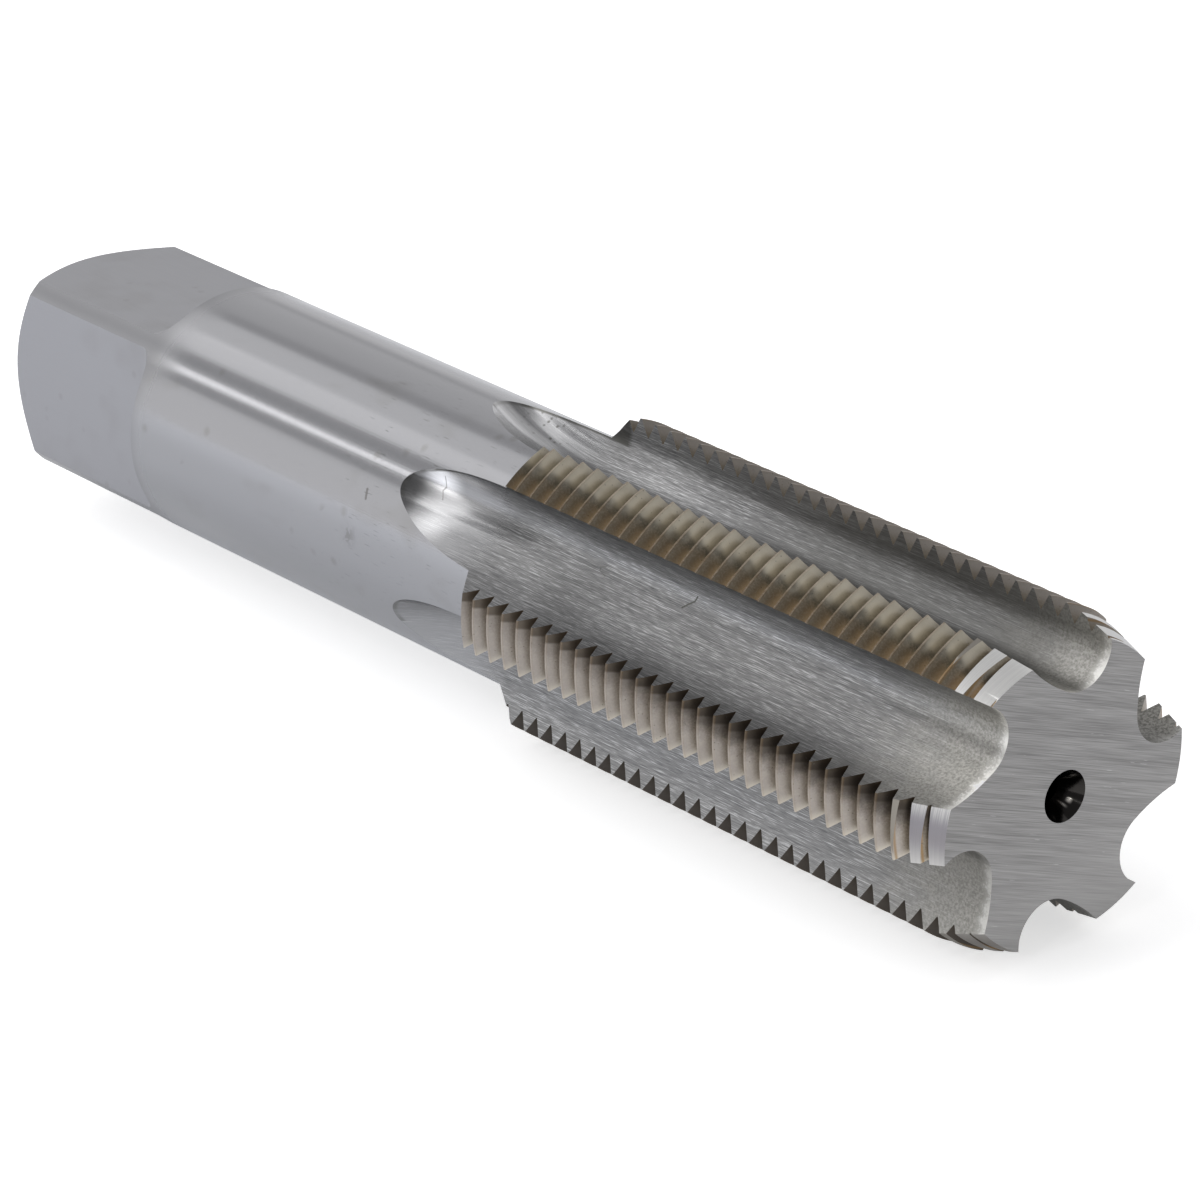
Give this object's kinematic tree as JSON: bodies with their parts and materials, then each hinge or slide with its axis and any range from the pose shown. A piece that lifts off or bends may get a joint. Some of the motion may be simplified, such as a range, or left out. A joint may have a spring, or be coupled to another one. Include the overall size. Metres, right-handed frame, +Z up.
{
  "type": "thread tap",
  "caption": "Straight-flute hand tap that cuts a fine inside thread, with a relieved bottoming chamfer and a square drive end.",
  "frame": {"origin": "centre of the bounding box in plan, on the surface that the tap lies on", "axes": "+X along the tap's axis towards the thread end and its front face, +Z up, one flute straight down and one straight up to within two degrees"},
  "size_m": [0.146, 0.0318, 0.0299],
  "materials": {
    "tool_steel": "ground and brushed bare tool steel, with a straw tint on the thread flanks"
  },
  "bodies": {
    "root": {"tap": "tool_steel"}
  },
  "joints": []
}
